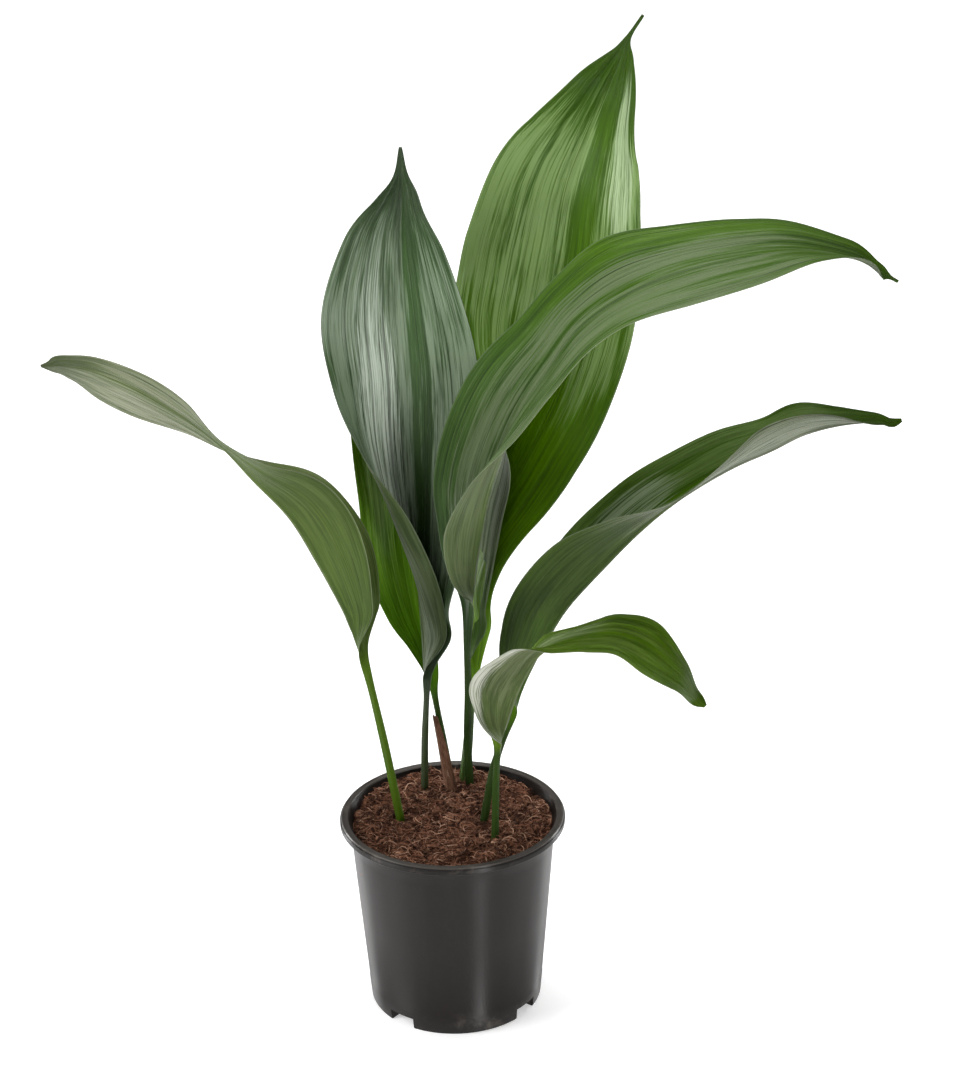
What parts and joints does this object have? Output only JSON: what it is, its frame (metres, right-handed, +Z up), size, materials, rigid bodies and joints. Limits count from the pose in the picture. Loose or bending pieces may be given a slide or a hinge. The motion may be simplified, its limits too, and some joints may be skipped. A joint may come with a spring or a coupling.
{
  "type": "potted cast iron plant",
  "caption": "Cast iron plant with long pointed leathery leaves, upright and arching, on slim stalks that rise from soil in a round tapered nursery pot.",
  "frame": {"origin": "middle of the pot's flat base, on the surface it stands on", "axes": "+Z up; the front, as seen in the picture, faces -Y and the leaves spread to -X and +X"},
  "size_m": [0.5043, 0.1811, 0.6016],
  "materials": {
    "pot_plastic": "satin",
    "soil": "matte",
    "leaf_green": "satin",
    "sheath_dry": "matte",
    "sheath_green": "satin"
  },
  "bodies": {
    "root": {"pot": "pot_plastic", "soil": "soil", "leaf_left_arching": "leaf_green", "leaf_upright_front": "leaf_green", "leaf_short_rear": "leaf_green", "leaf_tall_rear": "leaf_green", "leaf_right_arching": "leaf_green", "leaf_right_folded": "leaf_green", "leaf_right_low": "leaf_green", "sheath_dry": "sheath_dry", "sheath_green": "sheath_green"}
  },
  "joints": []
}
